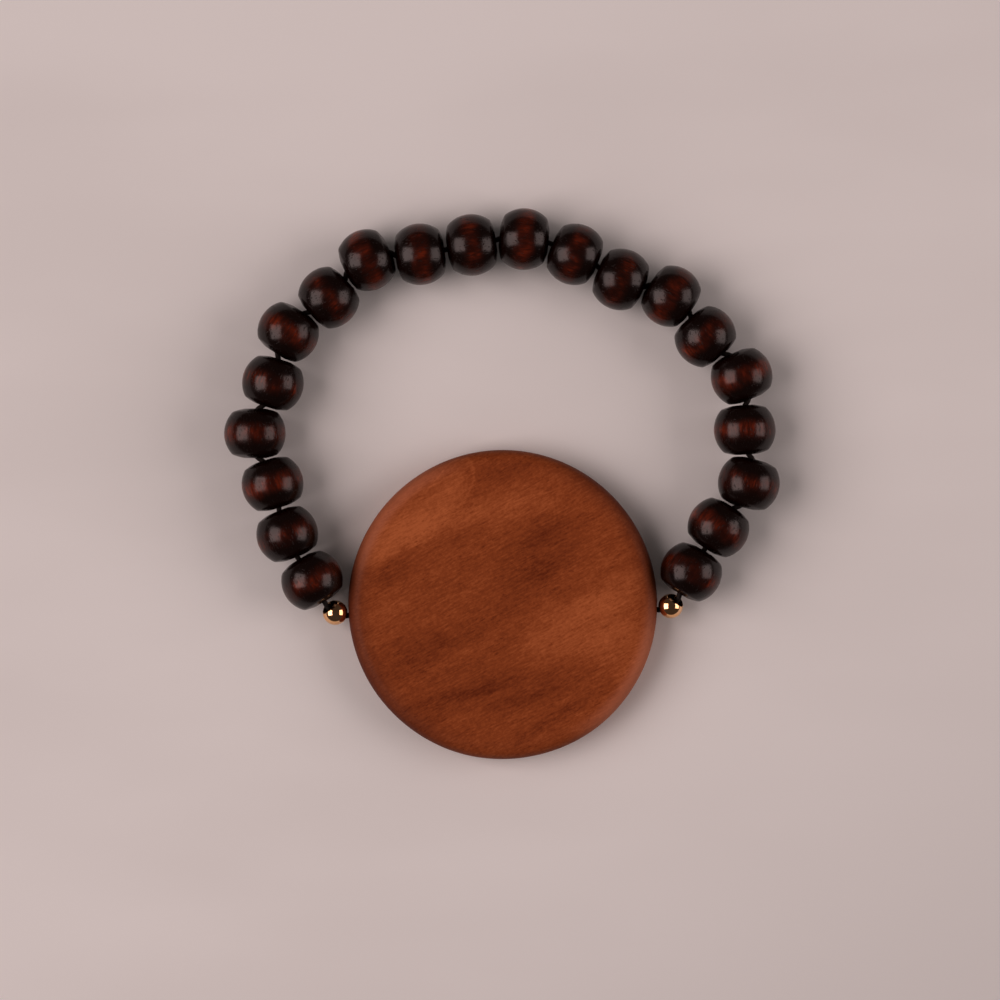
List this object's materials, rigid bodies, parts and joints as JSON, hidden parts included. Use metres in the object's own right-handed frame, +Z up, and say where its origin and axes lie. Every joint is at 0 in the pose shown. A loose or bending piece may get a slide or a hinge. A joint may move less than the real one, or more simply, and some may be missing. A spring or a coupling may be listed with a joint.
{
  "type": "beaded stretch bracelet",
  "caption": "Stretch bracelet of glossy dark wooden beads, with small metal spacer beads beside a large flat wooden disc, threaded on elastic and lying flat.",
  "frame": {"origin": "The centre of the disc's underside, on the surface that the bracelet lies on.", "axes": "+X along the hole through the disc, from the left spacer to the right one. +Y from the disc across the loop. +Z up from the surface that the bracelet lies on."},
  "size_m": [0.0717, 0.0711, 0.008],
  "materials": {
    "bead_wood": "stained nearly black with a red-brown band, glossy lacquer",
    "disc_wood": "warm brown, oiled, satin",
    "gold_tone": "polished gold tone",
    "elastic": "dark, matte"
  },
  "bodies": {
    "root": {"bead_01": "bead_wood", "bead_02": "bead_wood", "bead_03": "bead_wood", "bead_04": "bead_wood", "bead_05": "bead_wood", "bead_06": "bead_wood", "bead_07": "bead_wood", "bead_08": "bead_wood", "bead_09": "bead_wood", "bead_10": "bead_wood", "bead_11": "bead_wood", "bead_12": "bead_wood", "bead_13": "bead_wood", "bead_14": "bead_wood", "bead_15": "bead_wood", "bead_16": "bead_wood", "bead_17": "bead_wood", "bead_18": "bead_wood", "bead_19": "bead_wood", "bead_20": "bead_wood", "disc": "disc_wood", "spacer_left": "gold_tone", "spacer_right": "gold_tone", "elastic": "elastic"}
  },
  "joints": []
}
